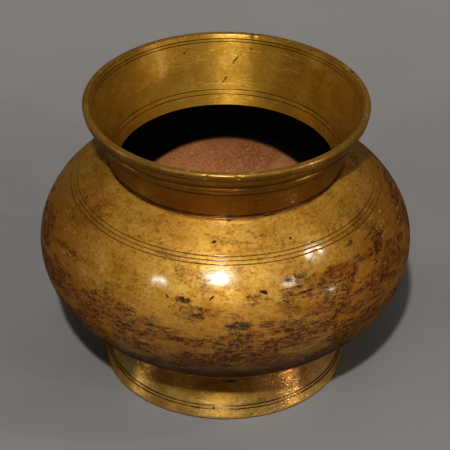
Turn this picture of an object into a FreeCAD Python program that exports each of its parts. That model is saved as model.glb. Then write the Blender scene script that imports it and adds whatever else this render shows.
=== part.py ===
import FreeCAD, Part
import math
import os

os.makedirs("parts", exist_ok=True)

# Driving dimensions in millimetres. The axis of the vessel is Z and the foot stands on z = 0.
HEIGHT = 192.0
RIM_R = 90.0
BELLY_R = 120.0
BELLY_Z = 93.6
NECK_R = 73.8
NECK_Z = 151.8
FOOT_R = 80.4
FOOT_TOP_R = 70.0
FOOT_TOP_Z = 27.0
WALL = 3.4

# How the body curve leaves the neck and arrives at the foot.
SHOULDER_SLOPE = math.radians(28.2)
SHOULDER_HANDLE = 16.1
UPPER_HANDLE = 30.4
LOWER_HANDLE = 41.4
FOOT_SLOPE = math.radians(55.2)
FOOT_HANDLE = 10.1

# Bottom of the bowl, hidden inside the foot.
BOTTOM_Z = 12.0
BOTTOM_FLAT_R = 34.0
BOTTOM_TURN_R = 61.0
BOTTOM_TURN_Z = 14.5

# Collar: a flared, turned ring with a moulded rim.
LIP_THICKNESS = 3.9
LIP_ROUND = 1.5
LIP_CHAMFER = 0.4
BORE_R = 68.5
SPIGOT_R = 71.2
SPIGOT_END_Z = 148.2
BORE_TOP_R = 84.9
BORE_TOP_Z = 189.8
STEP_R = 80.6
STEP_Z = 172.0
STEP_CORNER = 0.4
BEAD_R = 83.4
BEAD_LOW_Z = 173.2
BEAD_TOP_Z = 178.4
BEAD_TUCK = 0.3
HOLLOW_BOW = 0.9
BAND_LOW_R = 87.0
BAND_LOW_Z = 182.4
BAND_CORNER = 0.5
BAND_TOP_R = 89.2
BAND_TOP_Z = 187.0
NECK_LIP = 0.5

# Seat between collar and shoulder, filled by a brazed bead.
NECK_BRAZE = 0.8

# Lap joint near the widest part of the body.
SEAM_Z = 88.0
LAP_HEIGHT = 5.0
SEAM_BRAZE = 1.2

# Foot ring.
FOOT_WALL = 3.6
FOOT_LAND = 3.0
FOOT_EDGE = 1.6
FOOT_BEVEL = 0.3
LAND_BEVEL = 0.4
LAND_BEVEL_Z = 1.2
FOOT_SEAT_Z = 24.4

# Fillet of filler above the foot ring.
FOOT_BRAZE = 1.7
FILLET_TOP_RISE = 0.9
FILLET_LAP = 0.6
FILLET_BOW = 0.9

# Decorative turned grooves: depth, half width and where they run.
GROOVE_DEPTH = 0.55
GROOVE_HALF_WIDTH = 0.5
SHOULDER_GROOVE_R = 94.8
SHOULDER_GROOVE_STEP = 2.0
SHOULDER_GROOVES = 3
OUTER_RIM_GROOVE_Z = 189.2
OUTER_RIM_GROOVE_STEP = 1.8
OUTER_RIM_GROOVES = 2
INNER_RIM_GROOVE_Z = 189.0
INNER_RIM_GROOVE_STEP = 1.8
INNER_NECK_GROOVE_Z = 157.6
INNER_NECK_GROOVE_STEP = 2.9
FOOT_GROOVE_Z = 8.3
FOOT_GROOVE_STEP = 1.9
FOOT_GROOVES = 2

# Cutting solids start this close to the axis and reach past every part of the vessel.
CORE_R = 1.0
REACH = 200.0

# How finely a point is looked for on the shoulder curve.
HALVINGS = 40
CURVE_STEP = 0.001


def point(place):
    r, z = place
    return FreeCAD.Vector(r, 0.0, z)


def straight(places):
    return [Part.makeLine(point(a), point(b)) for a, b in zip(places[:-1], places[1:])]


def arc(start, middle, end):
    return Part.Arc(point(start), point(middle), point(end)).toShape()


def bezier(poles):
    curve = Part.BezierCurve()
    curve.setPoles([point(pole) for pole in poles])
    return curve.toShape()


def turned(edges):
    """Turn a closed half section about the axis of the vessel."""
    face = Part.Face(Part.Wire(edges))
    return face.revolve(FreeCAD.Vector(0, 0, 0), FreeCAD.Vector(0, 0, 1), 360)


def turned_polygon(places):
    return turned(straight(places + places[:1]))


def bottom_edges(inset):
    """Underside of the bowl from the foot joint in to the axis."""
    start = lower_end(inset)
    lift = BOTTOM_Z + inset
    rise = inset * math.cos(FOOT_SLOPE)
    turn = (BOTTOM_TURN_R - inset * math.sin(FOOT_SLOPE), BOTTOM_TURN_Z + rise)
    return [
        bezier([start, turn, (BOTTOM_TURN_R - BOTTOM_FLAT_R / 3, lift), (BOTTOM_FLAT_R, lift)]),
        Part.makeLine(point((BOTTOM_FLAT_R, lift)), point((0, lift))),
    ]


def upper_start(inset):
    r = NECK_R - inset * math.sin(SHOULDER_SLOPE)
    z = NECK_Z - inset * math.cos(SHOULDER_SLOPE)
    return (r, z)


def lower_end(inset):
    r = FOOT_TOP_R - inset * math.sin(FOOT_SLOPE)
    z = FOOT_TOP_Z + inset * math.cos(FOOT_SLOPE)
    return (r, z)


def upper_poles(inset):
    """Shoulder curve, shifted inwards by the given wall thickness."""
    shrink = 1 - inset / (BELLY_Z - FOOT_TOP_Z)
    r, z = upper_start(inset)
    leave = SHOULDER_HANDLE * shrink
    widest = BELLY_R - inset
    return [
        (r, z),
        (r + leave * math.cos(SHOULDER_SLOPE), z - leave * math.sin(SHOULDER_SLOPE)),
        (widest, BELLY_Z + UPPER_HANDLE * shrink),
        (widest, BELLY_Z),
    ]


def lower_poles(inset):
    """Belly curve, shifted inwards by the given wall thickness."""
    shrink = 1 - inset / (BELLY_Z - FOOT_TOP_Z)
    r, z = lower_end(inset)
    arrive = FOOT_HANDLE * shrink
    widest = BELLY_R - inset
    return [
        (widest, BELLY_Z),
        (widest, BELLY_Z - LOWER_HANDLE * shrink),
        (r + arrive * math.cos(FOOT_SLOPE), z + arrive * math.sin(FOOT_SLOPE)),
        (r, z),
    ]


def body_solid(inset):
    """Solid of revolution bounded by the body curve, closed flat at the neck."""
    top_r, top_z = upper_start(inset)
    edges = [bezier(upper_poles(inset)), bezier(lower_poles(inset))]
    edges += bottom_edges(inset)
    edges += straight([(0, BOTTOM_Z + inset), (0, top_z), (top_r, top_z)])
    return turned(edges)


def body_wall():
    """The whole hollow body, before it is parted at the belly seam."""
    inside = body_solid(WALL)
    mouth = Part.makeCylinder(SPIGOT_R, HEIGHT, FreeCAD.Vector(0, 0, BELLY_Z))
    return body_solid(0.0).cut(inside).cut(mouth)


def groove_ring(place, outward):
    """Triangular ring that cuts one turned groove; outward is the surface normal."""
    r, z = place
    nr, nz = outward
    size = math.hypot(nr, nz)
    nr, nz = nr / size, nz / size
    out_r, out_z = r + nr * GROOVE_DEPTH, z + nz * GROOVE_DEPTH
    wide = 2 * GROOVE_HALF_WIDTH
    return turned_polygon([
        (r - nr * GROOVE_DEPTH, z - nz * GROOVE_DEPTH),
        (out_r - nz * wide, out_z + nr * wide),
        (out_r + nz * wide, out_z - nr * wide),
    ])


def on_upper_curve(radius):
    """Point and outward normal of the shoulder curve at a given radius."""
    poles = upper_poles(0.0)
    low, high = 0.0, 1.0
    for _ in range(HALVINGS):
        t = (low + high) / 2
        r = cubic(poles, t)[0]
        if r < radius:
            low = t
        else:
            high = t
    here = cubic(poles, t)
    ahead = cubic(poles, t + CURVE_STEP)
    return here, (here[1] - ahead[1], ahead[0] - here[0])


def cubic(poles, t):
    weights = [(1 - t) ** 3, 3 * t * (1 - t) ** 2, 3 * t * t * (1 - t), t ** 3]
    r = sum(w * pole[0] for w, pole in zip(weights, poles))
    z = sum(w * pole[1] for w, pole in zip(weights, poles))
    return (r, z)


def shoulder_grooves(solid):
    for index in range(SHOULDER_GROOVES):
        place, normal = on_upper_curve(SHOULDER_GROOVE_R + index * SHOULDER_GROOVE_STEP)
        solid = solid.cut(groove_ring(place, normal))
    return solid


def lap_zone():
    """Everything that belongs above the belly seam, with its lap step on the inside."""
    middle = BELLY_R - WALL / 2
    return turned_polygon([
        (middle, SEAM_Z),
        (REACH, SEAM_Z),
        (REACH, HEIGHT),
        (CORE_R, HEIGHT),
        (CORE_R, SEAM_Z + LAP_HEIGHT),
        (middle, SEAM_Z + LAP_HEIGHT),
    ])


def seam_channel():
    """Rebate above the inner lip of the lap, where the belly seam was brazed."""
    middle = BELLY_R - WALL / 2
    low = SEAM_Z + LAP_HEIGHT
    return turned_polygon([
        (CORE_R, low),
        (middle, low),
        (middle - SEAM_BRAZE / 2, low + SEAM_BRAZE),
        (CORE_R, low + SEAM_BRAZE),
    ])


def shoulder_shell():
    seat_z = NECK_Z - NECK_BRAZE
    above = Part.makeCylinder(REACH, REACH, FreeCAD.Vector(0, 0, seat_z))
    shell = body_wall().common(lap_zone()).cut(seam_channel()).cut(above)
    return shoulder_grooves(shell)


def belly_shell():
    return body_wall().cut(lap_zone())


def belly_braze_ring():
    return body_wall().common(lap_zone()).common(seam_channel())


def collar_bore_r(z):
    """Radius of the collar's bore at a height; the bore is a plain cone."""
    share = (z - SPIGOT_END_Z) / (BORE_TOP_Z - SPIGOT_END_Z)
    return BORE_R + share * (BORE_TOP_R - BORE_R)


def collar():
    seat_z = NECK_Z - NECK_BRAZE
    lip_in = RIM_R - LIP_THICKNESS
    edges = straight([
        (BORE_R, SPIGOT_END_Z),
        (SPIGOT_R, SPIGOT_END_Z),
        (SPIGOT_R, seat_z),
        (NECK_R - NECK_BRAZE, seat_z),
        (NECK_R - NECK_BRAZE, NECK_Z),
        (NECK_R + NECK_LIP / 2, NECK_Z),
    ])
    edges.append(arc((NECK_R + NECK_LIP / 2, NECK_Z), (NECK_R + NECK_LIP, NECK_Z + NECK_LIP),
                     (NECK_R + NECK_LIP / 2, NECK_Z + 2 * NECK_LIP)))
    edges += straight([
        (NECK_R + NECK_LIP / 2, NECK_Z + 2 * NECK_LIP),
        (STEP_R - STEP_CORNER, STEP_Z - STEP_CORNER),
        (STEP_R, STEP_Z),
        (STEP_R + STEP_CORNER, BEAD_LOW_Z),
    ])
    bead_middle = (BEAD_LOW_Z + BEAD_TOP_Z) / 2
    bead_top = (BEAD_R - BEAD_TUCK, BEAD_TOP_Z)
    edges.append(arc((STEP_R + STEP_CORNER, BEAD_LOW_Z), (BEAD_R, bead_middle), bead_top))
    hollow_middle = (BEAD_TOP_Z + BAND_LOW_Z) / 2
    band_foot = (BAND_LOW_R - BAND_CORNER, BAND_LOW_Z)
    edges.append(arc(bead_top, (BEAD_R + HOLLOW_BOW, hollow_middle), band_foot))
    rounding = LIP_ROUND * (1 - math.sqrt(0.5))
    edges += straight([
        band_foot,
        (BAND_LOW_R, BAND_LOW_Z + BAND_CORNER),
        (BAND_TOP_R, BAND_TOP_Z),
        (RIM_R, HEIGHT - LIP_ROUND),
    ])
    edges.append(arc((RIM_R, HEIGHT - LIP_ROUND), (RIM_R - rounding, HEIGHT - rounding),
                     (RIM_R - LIP_ROUND, HEIGHT)))
    edges += straight([
        (RIM_R - LIP_ROUND, HEIGHT),
        (lip_in + LIP_CHAMFER, HEIGHT),
        (lip_in, HEIGHT - LIP_CHAMFER),
        (BORE_TOP_R, BORE_TOP_Z),
        (BORE_R, SPIGOT_END_Z),
    ])
    return collar_grooves(turned(edges))


def collar_grooves(solid):
    lean = (BORE_TOP_Z - SPIGOT_END_Z, -(BORE_TOP_R - BORE_R))
    inward = (-lean[0], -lean[1])
    inner_heights = [
        INNER_RIM_GROOVE_Z,
        INNER_RIM_GROOVE_Z - INNER_RIM_GROOVE_STEP,
        INNER_NECK_GROOVE_Z,
        INNER_NECK_GROOVE_Z - INNER_NECK_GROOVE_STEP,
    ]
    for z in inner_heights:
        solid = solid.cut(groove_ring((collar_bore_r(z), z), inward))
    rise = RIM_R - BAND_TOP_R
    run = HEIGHT - LIP_ROUND - BAND_TOP_Z
    for index in range(OUTER_RIM_GROOVES):
        z = OUTER_RIM_GROOVE_Z - index * OUTER_RIM_GROOVE_STEP
        r = BAND_TOP_R + (z - BAND_TOP_Z) * rise / run
        solid = solid.cut(groove_ring((r, z), (run, -rise)))
    return solid


def neck_braze_ring():
    """Bead of filler in the seat between collar and shoulder, slightly proud of both."""
    low = NECK_Z - NECK_BRAZE
    outer = NECK_R + NECK_LIP / 2
    edges = straight([
        (outer, NECK_Z),
        (NECK_R - NECK_BRAZE, NECK_Z),
        (NECK_R - NECK_BRAZE, low),
        (outer, low),
    ])
    edges.append(arc((outer, low), (outer + NECK_BRAZE / 3, NECK_Z - NECK_BRAZE / 2), (outer, NECK_Z)))
    return turned(edges)


def foot_outer_r(z):
    """Radius of the foot's outside at a height; a plain cone above the edge band."""
    share = (z - FOOT_EDGE) / (FOOT_SEAT_Z - FOOT_EDGE)
    return FOOT_R + share * (FOOT_TOP_R - FOOT_R)


def foot_blank():
    inner_low = FOOT_R - FOOT_LAND - FOOT_WALL / 2
    top_in = FOOT_TOP_R - FOOT_WALL - WALL
    return turned_polygon([
        (inner_low, 0),
        (FOOT_R - FOOT_BEVEL, 0),
        (FOOT_R, FOOT_BEVEL),
        (FOOT_R, FOOT_EDGE),
        (FOOT_TOP_R, FOOT_SEAT_Z),
        (FOOT_TOP_R, FOOT_TOP_Z),
        (top_in, FOOT_TOP_Z),
        (top_in, FOOT_SEAT_Z - FOOT_WALL),
        (inner_low - LAND_BEVEL, LAND_BEVEL_Z),
    ])


def foot_ring():
    """Conical foot whose upper edge is turned to sit against the round of the bowl."""
    ring = foot_blank().cut(body_solid(0.0)).cut(foot_channel())
    normal = (FOOT_SEAT_Z - FOOT_EDGE, FOOT_R - FOOT_TOP_R)
    for index in range(FOOT_GROOVES):
        z = FOOT_GROOVE_Z - index * FOOT_GROOVE_STEP
        ring = ring.cut(groove_ring((foot_outer_r(z), z), normal))
    return ring


def foot_channel():
    """Corner between bowl and foot that the foot braze fills."""
    return turned_polygon([
        (FOOT_TOP_R - FOOT_BRAZE, FOOT_SEAT_Z),
        (REACH, FOOT_SEAT_Z),
        (REACH, FOOT_SEAT_Z + 2 * FOOT_WALL),
        (FOOT_TOP_R - FOOT_BRAZE, FOOT_SEAT_Z + 2 * FOOT_WALL),
    ])


def foot_braze_ring():
    """Fillet of filler in the corner between the bowl and the top of the foot."""
    inner = FOOT_TOP_R - FOOT_BRAZE
    top = FOOT_TOP_Z + FILLET_TOP_RISE
    edges = straight([
        (FOOT_TOP_R, FOOT_SEAT_Z),
        (inner, FOOT_SEAT_Z),
        (inner, top),
        (FOOT_TOP_R + FILLET_LAP, top),
    ])
    middle = (FOOT_TOP_R + FILLET_BOW, FOOT_TOP_Z - FILLET_LAP)
    edges.append(arc((FOOT_TOP_R + FILLET_LAP, top), middle, (FOOT_TOP_R, FOOT_SEAT_Z)))
    return turned(edges).cut(body_solid(0.0))


PIECES = {
    "collar": collar,
    "neck_braze_ring": neck_braze_ring,
    "shoulder_shell": shoulder_shell,
    "belly_braze_ring": belly_braze_ring,
    "belly_shell": belly_shell,
    "foot_braze_ring": foot_braze_ring,
    "foot_ring": foot_ring,
}

for name, build in PIECES.items():
    shape = build()
    print(name, shape.isValid(), len(shape.Solids), round(shape.Volume, 1), shape.BoundBox)
    shape.exportStep("parts/" + name + ".step")
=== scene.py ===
import math

import bmesh
import bpy
import numpy as np
from mathutils import Matrix, Vector


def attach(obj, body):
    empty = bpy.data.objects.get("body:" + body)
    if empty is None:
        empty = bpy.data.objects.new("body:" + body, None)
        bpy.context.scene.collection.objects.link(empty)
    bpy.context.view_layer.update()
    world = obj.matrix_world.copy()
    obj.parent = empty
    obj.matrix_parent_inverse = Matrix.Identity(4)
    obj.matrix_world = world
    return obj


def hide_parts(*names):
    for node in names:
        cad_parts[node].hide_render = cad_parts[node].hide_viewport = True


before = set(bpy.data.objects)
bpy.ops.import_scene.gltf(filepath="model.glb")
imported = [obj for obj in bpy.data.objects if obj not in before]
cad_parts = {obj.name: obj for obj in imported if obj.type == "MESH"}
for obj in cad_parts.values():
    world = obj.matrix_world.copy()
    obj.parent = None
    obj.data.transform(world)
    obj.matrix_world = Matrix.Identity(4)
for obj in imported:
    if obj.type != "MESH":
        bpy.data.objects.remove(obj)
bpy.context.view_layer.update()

MM = 0.001

# The pot's section in millimetres, the same driving sizes as the CAD pieces.
HEIGHT = 192.0
RIM_R = 90.0
BELLY_R = 120.0
BELLY_Z = 93.6
NECK_R = 73.8
NECK_Z = 151.8
SEAT_Z = 151.0
FOOT_R = 80.4
FOOT_TOP_R = 70.0
FOOT_TOP_Z = 27.0
FOOT_SEAT_Z = 24.4
WALL = 3.4
SHOULDER_SLOPE = math.radians(28.2)
FOOT_SLOPE = math.radians(55.2)
SEAM_Z = 88.0
LAP_Z = 93.0
BRAZE_TOP_Z = 94.2
BORE_R = 68.5
BORE_TOP_R = 84.9
BORE_TOP_Z = 189.8
SPIGOT_R = 71.2
SPIGOT_END_Z = 148.2

# How strongly the body's curves pull at the neck, above and below the widest part, and at the foot.
NECK_PULL = 16.1
UPPER_PULL = 30.4
LOWER_PULL = 41.4
FOOT_PULL = 10.1

# Closed bottom, hidden inside the foot.
BOTTOM_Z = 12.0
BOTTOM_FLAT_R = 34.0
BOTTOM_TURN_R = 61.0
BOTTOM_TURN_Z = 14.5

# Corners of the collar as (radius, height), from the neck up over the lip. A bow is the middle of an arc.
NECK_SEAT_R = 73.0
NECK_LIP_R = 74.05
NECK_LIP_BOW = (74.3, 152.3)
NECK_LIP_TOP = (NECK_LIP_R, 152.8)
STEP_LOW = (80.2, 171.6)
STEP_BOW = (80.55, 171.9)
BEAD_LOW = (81.0, 173.2)
BEAD_BOW = (83.4, 175.8)
BEAD_TOP = (83.1, 178.4)
HOLLOW_BOW = (84.3, 180.4)
HOLLOW_TOP = (86.5, 182.4)
BAND_BOW = (86.9, 182.5)
BAND_LOW = (87.0, 182.9)
BAND_TOP = (89.2, 187.0)
RIM_LOW = (RIM_R, 190.5)
RIM_BOW = (89.6, 191.6)
LIP_OUT = (88.5, HEIGHT)
LIP_IN = (86.6, HEIGHT)
LIP_BOW = (86.0, 191.7)
LIP_END = (85.6, 191.0)
BORE_TOP = (BORE_TOP_R, BORE_TOP_Z)

# Shoulder's mouth, where the collar sits.
MOUTH_R = 77.4
MOUTH_BOW = (76.1, 150.7)
MOUTH_SEAT_R = 74.9

# Middle of the lap between the two body shells, and how far the braze leans in above it.
LAP_R = BELLY_R - WALL / 2
BRAZE_LEAN = 0.6

# Foot, from the land it stands on up its outside.
FOOT_LAND_IN_R = 75.6
FOOT_LAND_OUT_R = 79.9
FOOT_LAND_BOW = (80.3, 0.12)
FOOT_EDGE_LOW_Z = 0.5
FOOT_EDGE_TOP_Z = 1.4
FOOT_EDGE_BOW = (80.36, 1.6)
FOOT_SIDE_Z = 1.7
FOOT_SIDE_LOW = (80.2, 2.1)
FOOT_BEVEL = (75.2, 1.2)
FOOT_TOP_IN_R = 63.0

# Braze beads at the neck and the foot.
NECK_BEAD_R = 74.2
NECK_BEAD_BOW = (74.5, 151.4)
FOOT_BEAD = 1.7
FILLET_TOP_Z = 28.4
FILLET_BOW = (70.75, 26.7)

SHOULDER_GROOVE_R = (94.8, 96.8, 98.8)
RIM_GROOVE_Z = (189.2, 187.4)
BORE_GROOVE_Z = (189.0, 187.2, 157.6, 154.7)
FOOT_GROOVE_Z = (8.3, 6.4)
GROOVE_DEPTH = 0.32
GROOVE_REACH = 0.32
GROOVE_SOFTNESS = 0.6
GROOVE_SPAN = 3 * GROOVE_REACH

SEGMENTS = 600
CURVE_POINTS = 600
ARC_POINTS = 24
COARSE_STEP = 1.1
FINE_STEP = 0.14
LEAST_STEP = 0.05
EDGE_HOLD = 0.12
AXIS_FADE_R = 20.0
ON_AXIS_R = 0.01


# ---------------------------------------------------------------- section lines

def line(start, end):
    return np.array([start, end], float)


def bezier(poles):
    t = np.linspace(0.0, 1.0, CURVE_POINTS)[:, None]
    a, b, c, d = [np.array(pole, float) for pole in poles]
    return (1 - t) ** 3 * a + 3 * t * (1 - t) ** 2 * b + 3 * t * t * (1 - t) * c + t ** 3 * d


def arc(start, middle, end):
    """Smooth bow through three points of the section."""
    t = np.linspace(0.0, 1.0, ARC_POINTS)[:, None]
    start, middle, end = [np.array(place, float) for place in (start, middle, end)]
    pull = 2 * middle - (start + end) / 2
    return (1 - t) ** 2 * start + 2 * t * (1 - t) * pull + t * t * end


def along(points):
    gaps = np.hypot(*np.diff(points, axis=0).T)
    return np.concatenate([[0.0], np.cumsum(gaps)])


def resample(points, grooves=(), step=COARSE_STEP, side=1.0):
    """Even points along a section line, closer together near grooves, with the grooves pressed in.

    grooves holds distances along the line; side is +1 when the metal lies on the line's left.
    """
    run = along(points)
    total = run[-1]
    stops = list(np.linspace(0.0, total, max(2, int(total / step) + 1)))
    for middle in grooves:
        stops = [s for s in stops if abs(s - middle) > GROOVE_SPAN]
        stops += list(np.arange(middle - GROOVE_SPAN, middle + GROOVE_SPAN, FINE_STEP))
    if total > 4 * EDGE_HOLD:
        stops += [EDGE_HOLD, total - EDGE_HOLD]
    stops = np.unique(np.clip(np.array(sorted(stops)), 0.0, total))
    kept = [stops[0]]
    for s in stops[1:]:
        if s - kept[-1] > LEAST_STEP:
            kept.append(s)
    kept[-1] = total
    stops = np.array(kept)
    r = np.interp(stops, run, points[:, 0])
    z = np.interp(stops, run, points[:, 1])
    dr = np.gradient(r, stops)
    dz = np.gradient(z, stops)
    size = np.hypot(dr, dz)
    press = np.zeros_like(stops)
    for middle in grooves:
        press += GROOVE_DEPTH * np.exp(-((stops - middle) / (GROOVE_SOFTNESS * GROOVE_REACH)) ** 2)
    return np.stack([r - side * press * dz / size, z + side * press * dr / size], axis=1)


def where(points, column, values):
    """Distances along a line at which one coordinate takes the given values."""
    run = along(points)
    found = []
    for value in values:
        found.append(run[int(np.abs(points[:, column] - value).argmin())])
    return found


def groove_runs(points, heights):
    """Distances along a straight line for grooves at the given heights, as shares of its rise."""
    low = points[0][1]
    rise = points[-1][1] - low
    return [(z - low) / rise * along(points)[-1] for z in heights]


def upper_curve(inset):
    shrink = 1 - inset / (BELLY_Z - FOOT_TOP_Z)
    r = NECK_R - inset * math.sin(SHOULDER_SLOPE)
    z = NECK_Z - inset * math.cos(SHOULDER_SLOPE)
    leave = NECK_PULL * shrink
    widest = BELLY_R - inset
    return bezier([
        (r, z),
        (r + leave * math.cos(SHOULDER_SLOPE), z - leave * math.sin(SHOULDER_SLOPE)),
        (widest, BELLY_Z + UPPER_PULL * shrink),
        (widest, BELLY_Z),
    ])


def lower_curve(inset):
    shrink = 1 - inset / (BELLY_Z - FOOT_TOP_Z)
    r = FOOT_TOP_R - inset * math.sin(FOOT_SLOPE)
    z = FOOT_TOP_Z + inset * math.cos(FOOT_SLOPE)
    arrive = FOOT_PULL * shrink
    widest = BELLY_R - inset
    return bezier([
        (widest, BELLY_Z),
        (widest, BELLY_Z - LOWER_PULL * shrink),
        (r + arrive * math.cos(FOOT_SLOPE), z + arrive * math.sin(FOOT_SLOPE)),
        (r, z),
    ])


def bottom_curve(inset):
    start = lower_curve(inset)[-1]
    turn = (BOTTOM_TURN_R - inset * math.sin(FOOT_SLOPE), BOTTOM_TURN_Z + inset * math.cos(FOOT_SLOPE))
    level = BOTTOM_Z + inset
    ease = (BOTTOM_TURN_R - BOTTOM_FLAT_R / 3, level)
    bow = bezier([start, turn, ease, (BOTTOM_FLAT_R, level)])
    return np.vstack([bow, [[0.0, level]]])


def between(points, column, low, high):
    """Part of a line whose coordinate lies between two values, with exact ends."""
    values = points[:, column]
    inside = points[(values > low) & (values < high)]
    other = 1 - column
    order = np.argsort(values)
    ends = []
    for value in (low, high):
        clipped = min(max(value, values.min()), values.max())
        place = [0.0, 0.0]
        place[column] = clipped
        place[other] = np.interp(clipped, values[order], points[order, other])
        ends.append(place)
    if values[0] > values[-1]:
        ends.reverse()
    return np.vstack([[ends[0]], inside, [ends[1]]])


# ---------------------------------------------------------------- hand-made unevenness

def ripple(angle, height, seed, turns, climb, count=14):
    """Sum of gentle waves round and up the pot; the same for every piece, so joints stay shut."""
    random = np.random.default_rng(seed)
    total = np.zeros_like(angle)
    for _ in range(count):
        around = random.integers(1, turns + 1)
        rise = random.uniform(-climb, climb)
        phase = random.uniform(0.0, 2 * math.pi)
        total += np.cos(around * angle + rise * height + phase)
    return total / math.sqrt(count)


# Shallow knocks in the metal: angle in degrees, height, depth and spread in mm.
DENTS = (
    (302.0, 133.0, 0.35, 5.0),
    (290.0, 125.0, 0.10, 2.6),
    (249.0, 123.5, 0.22, 4.5),
    (281.0, 117.0, 0.18, 7.0),
    (215.0, 112.0, 0.40, 12.0),
    (330.0, 100.0, 0.45, 14.0),
    (262.0, 76.0, 0.35, 9.0),
    (306.0, 74.0, 0.40, 11.0),
    (40.0, 118.0, 0.45, 13.0),
    (96.0, 96.0, 0.40, 9.0),
    (150.0, 128.0, 0.35, 8.0),
    (176.0, 84.0, 0.50, 15.0),
    (18.0, 60.0, 0.40, 10.0),
    (120.0, 62.0, 0.40, 12.0),
)

# Small nicks on the lip and on the foot's edge: angle in degrees, height, depth and spread.
NICKS = (
    (78.0, 191.9, 0.55, 1.5),
    (262.5, 190.6, 0.40, 1.2),
    (274.5, 190.4, 0.45, 1.2),
    (301.0, 190.8, 0.35, 1.4),
    (331.0, 191.2, 0.40, 1.3),
    (350.0, 190.9, 0.45, 1.6),
    (205.0, 191.0, 0.35, 1.3),
    (283.0, 1.4, 0.60, 1.6),
    (248.0, 1.2, 0.40, 1.8),
    (319.0, 1.5, 0.45, 1.6),
    (30.0, 1.2, 0.50, 2.0),
    (145.0, 191.0, 0.45, 1.5),
    (180.0, 1.4, 0.45, 1.8),
)


def unevenness(r, angle, z):
    """Radial shift in millimetres for points of the pot."""
    shift = 0.28 * np.cos(2 * angle + 0.7) + 0.12 * np.cos(3 * angle + 2.1)
    shift += 0.09 * ripple(angle, z, 11, 9, 0.05)
    shift += 0.018 * ripple(angle, z, 23, 60, 0.5, 22)
    shift *= np.clip(z / 12.0, 0.25, 1.0)
    for degrees, height, depth, spread in DENTS + NICKS:
        turn = np.angle(np.exp(1j * (angle - math.radians(degrees))))
        apart = (turn * r) ** 2 + (z - height) ** 2
        shift -= depth * np.exp(-apart / (spread * spread))
    return shift


def turn_piece(name, lines, body="root", segments=SEGMENTS):
    """Turn a closed section into a mesh. lines holds (points, material index) in order."""
    rows = []
    skins = []
    for points, skin in lines:
        rows.append(points[:-1])
        skins += [skin] * (len(points) - 1)
    open_ended = lines[0][0][0][0] < ON_AXIS_R
    if open_ended:
        rows.append(lines[-1][0][-1:])
    section = np.vstack(rows)
    count = len(section)
    angles = np.linspace(0.0, 2 * math.pi, segments, endpoint=False)
    r = np.repeat(section[:, 0], segments)
    z = np.repeat(section[:, 1], segments)
    angle = np.tile(angles, count)
    shifted = r + unevenness(r, angle, z) * np.clip(r / AXIS_FADE_R, 0.0, 1.0)
    places = np.stack([shifted * np.cos(angle), shifted * np.sin(angle), z], axis=1) * MM
    faces = []
    indices = []
    last = count - 1 if open_ended else count
    for row in range(last):
        here = row * segments
        there = ((row + 1) % count) * segments
        for step in range(segments):
            after = (step + 1) % segments
            if open_ended and row == 0:
                faces.append((here, there + after, there + step))
            elif open_ended and row == last - 1:
                faces.append((here + step, here + after, there))
            else:
                faces.append((here + step, here + after, there + after, there + step))
            indices.append(skins[row])
    mesh = bpy.data.meshes.new(name)
    mesh.from_pydata(places.tolist(), [], faces)
    mesh.polygons.foreach_set("material_index", indices)
    mesh.polygons.foreach_set("use_smooth", [True] * len(faces))
    mesh.update()
    piece = bpy.data.objects.new(name, mesh)
    bpy.context.collection.objects.link(piece)
    tidy_mesh(piece)
    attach(piece, body)
    return piece


def tidy_mesh(piece):
    """Join the doubled points on the axis and turn every face outwards."""
    work = bmesh.new()
    work.from_mesh(piece.data)
    bmesh.ops.remove_doubles(work, verts=work.verts, dist=1e-7)
    bmesh.ops.recalc_face_normals(work, faces=work.faces)
    work.to_mesh(piece.data)
    work.free()
    piece.data.update()


OUTSIDE = 0
INSIDE = 1


def make_collar():
    bore = line((BORE_R, SPIGOT_END_Z), BORE_TOP)
    bore_grooves = [along(bore)[-1] - run for run in groove_runs(bore, BORE_GROOVE_Z)]
    rim_side = line(BAND_TOP, RIM_LOW)
    seat = (NECK_SEAT_R, SEAT_Z)
    outline = [
        (resample(line((BORE_R, SPIGOT_END_Z), (SPIGOT_R, SPIGOT_END_Z))), OUTSIDE),
        (resample(line((SPIGOT_R, SPIGOT_END_Z), (SPIGOT_R, SEAT_Z))), OUTSIDE),
        (resample(line((SPIGOT_R, SEAT_Z), seat)), OUTSIDE),
        (resample(line(seat, (NECK_SEAT_R, NECK_Z))), OUTSIDE),
        (resample(line((NECK_SEAT_R, NECK_Z), (NECK_LIP_R, NECK_Z))), OUTSIDE),
        (resample(arc((NECK_LIP_R, NECK_Z), NECK_LIP_BOW, NECK_LIP_TOP), step=0.2), OUTSIDE),
        (resample(line(NECK_LIP_TOP, STEP_LOW)), OUTSIDE),
        (resample(arc(STEP_LOW, STEP_BOW, BEAD_LOW), step=0.3), OUTSIDE),
        (resample(arc(BEAD_LOW, BEAD_BOW, BEAD_TOP), step=0.35), OUTSIDE),
        (resample(arc(BEAD_TOP, HOLLOW_BOW, HOLLOW_TOP), step=0.45), OUTSIDE),
        (resample(arc(HOLLOW_TOP, BAND_BOW, BAND_LOW), step=0.25), OUTSIDE),
        (resample(line(BAND_LOW, BAND_TOP), step=0.8), OUTSIDE),
        (resample(rim_side, groove_runs(rim_side, RIM_GROOVE_Z)), OUTSIDE),
        (resample(arc(RIM_LOW, RIM_BOW, LIP_OUT), step=0.3), OUTSIDE),
        (resample(line(LIP_OUT, LIP_IN), step=0.5), OUTSIDE),
        (resample(arc(LIP_IN, LIP_BOW, LIP_END), step=0.25), OUTSIDE),
        (resample(line(LIP_END, BORE_TOP), step=0.5), INSIDE),
        (resample(bore[::-1], bore_grooves), INSIDE),
    ]
    return turn_piece("collar_turned", outline)


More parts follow.
